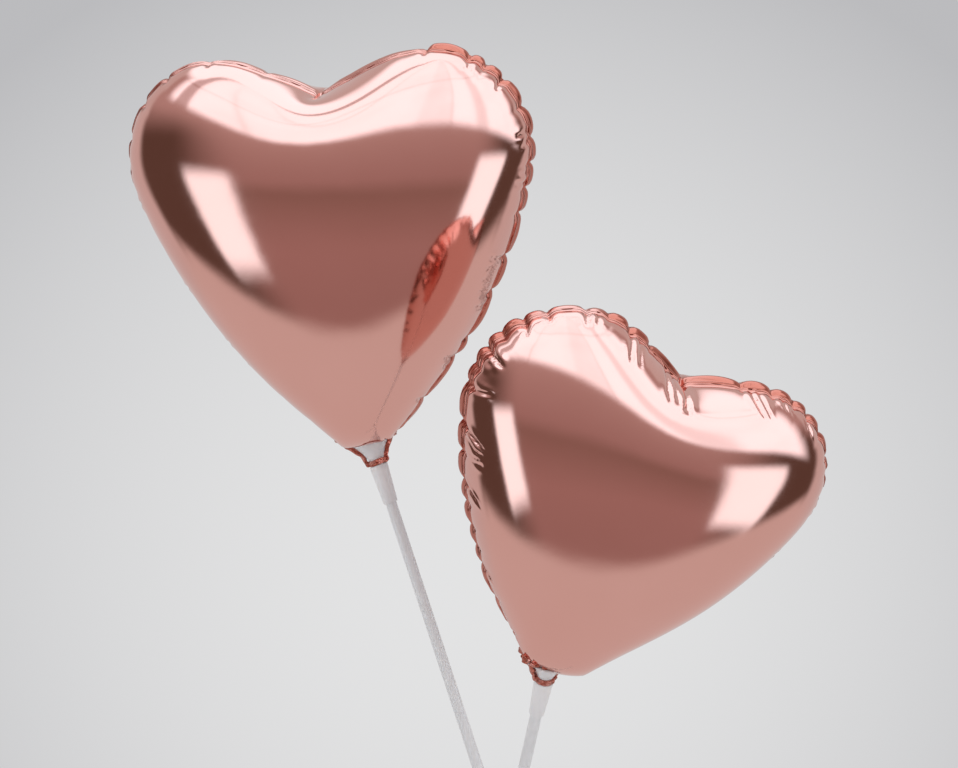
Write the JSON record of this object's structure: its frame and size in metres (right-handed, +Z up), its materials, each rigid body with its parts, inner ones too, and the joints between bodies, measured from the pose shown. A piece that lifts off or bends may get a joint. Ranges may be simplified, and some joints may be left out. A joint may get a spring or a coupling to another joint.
{
  "type": "heart foil balloon pair on cup-and-stick holders",
  "caption": "Pair of inflated heart-shaped metallised foil balloons, each seated in a petalled plastic cup on a tubular stick, the sticks tied where they cross.",
  "frame": {"origin": "middle of the tie, where the two sticks cross and the pair is held", "axes": "+Z up, +Y away from the viewer who faces the balloons' fronts, +X to that viewer's right"},
  "size_m": [0.2975, 0.2262, 0.5264],
  "materials": {
    "foil": "mirror-bright rose gold metallised polyester film",
    "cup_plastic": "translucent white moulded polypropylene",
    "stick_plastic": "translucent white extruded tube, faint draw lines",
    "valve_film": "clear two-ply polyethylene film",
    "tie_rubber": "pale elastic band, matt"
  },
  "bodies": {
    "holder": {"left_stick": "stick_plastic", "stick_tie": "tie_rubber"},
    "right_holder": {"right_stick": "stick_plastic"},
    "left_cup": {"left_balloon_cup": "cup_plastic", "left_tail_wrap": "foil"},
    "left_neck": {"left_neck_gather": "foil"},
    "left_balloon": {"left_front_panel": "foil", "left_back_panel": "foil", "left_inflation_valve": "valve_film"},
    "right_cup": {"right_balloon_cup": "cup_plastic", "right_tail_wrap": "foil"},
    "right_neck": {"right_neck_gather": "foil"},
    "right_balloon": {"right_front_panel": "foil", "right_back_panel": "foil", "right_inflation_valve": "valve_film"}
  },
  "joints": [
    {"name": "stick_spread", "type": "hinge", "parent": "holder", "child": "right_holder", "pos_m": [0, 0, 0], "axis": [0.7256, 0.6454, 0.2386], "range_deg": [-4, 6]},
    {"name": "left_cup_turn", "type": "hinge", "parent": "holder", "child": "left_cup", "pos_m": [-0.05117, 0.00171, 0.16213], "axis": [-0.3123, 0, 0.95], "continuous": true},
    {"name": "left_sway", "type": "hinge", "parent": "left_cup", "child": "left_neck", "pos_m": [-0.05805, 0.00171, 0.18303], "axis": [0.1567, 0.9336, 0.3223], "range_deg": [-8, 8]},
    {"name": "left_nod", "type": "hinge", "parent": "left_neck", "child": "left_balloon", "pos_m": [-0.05805, 0.00171, 0.18303], "axis": [0.9786, -0.1908, 0.077], "range_deg": [-8, 8]},
    {"name": "right_cup_turn", "type": "hinge", "parent": "right_holder", "child": "right_cup", "pos_m": [0.01278, -0.04621, 0.07503], "axis": [0.1652, -0.5, 0.8501], "continuous": true},
    {"name": "right_sway", "type": "hinge", "parent": "right_cup", "child": "right_neck", "pos_m": [0.01642, -0.05721, 0.09373], "axis": [-0.0801, 0.9303, 0.358], "range_deg": [-8, 8]},
    {"name": "right_nod", "type": "hinge", "parent": "right_neck", "child": "right_balloon", "pos_m": [0.01642, -0.05721, 0.09373], "axis": [0.9192, 0.2079, -0.3345], "range_deg": [-8, 8]}
  ]
}
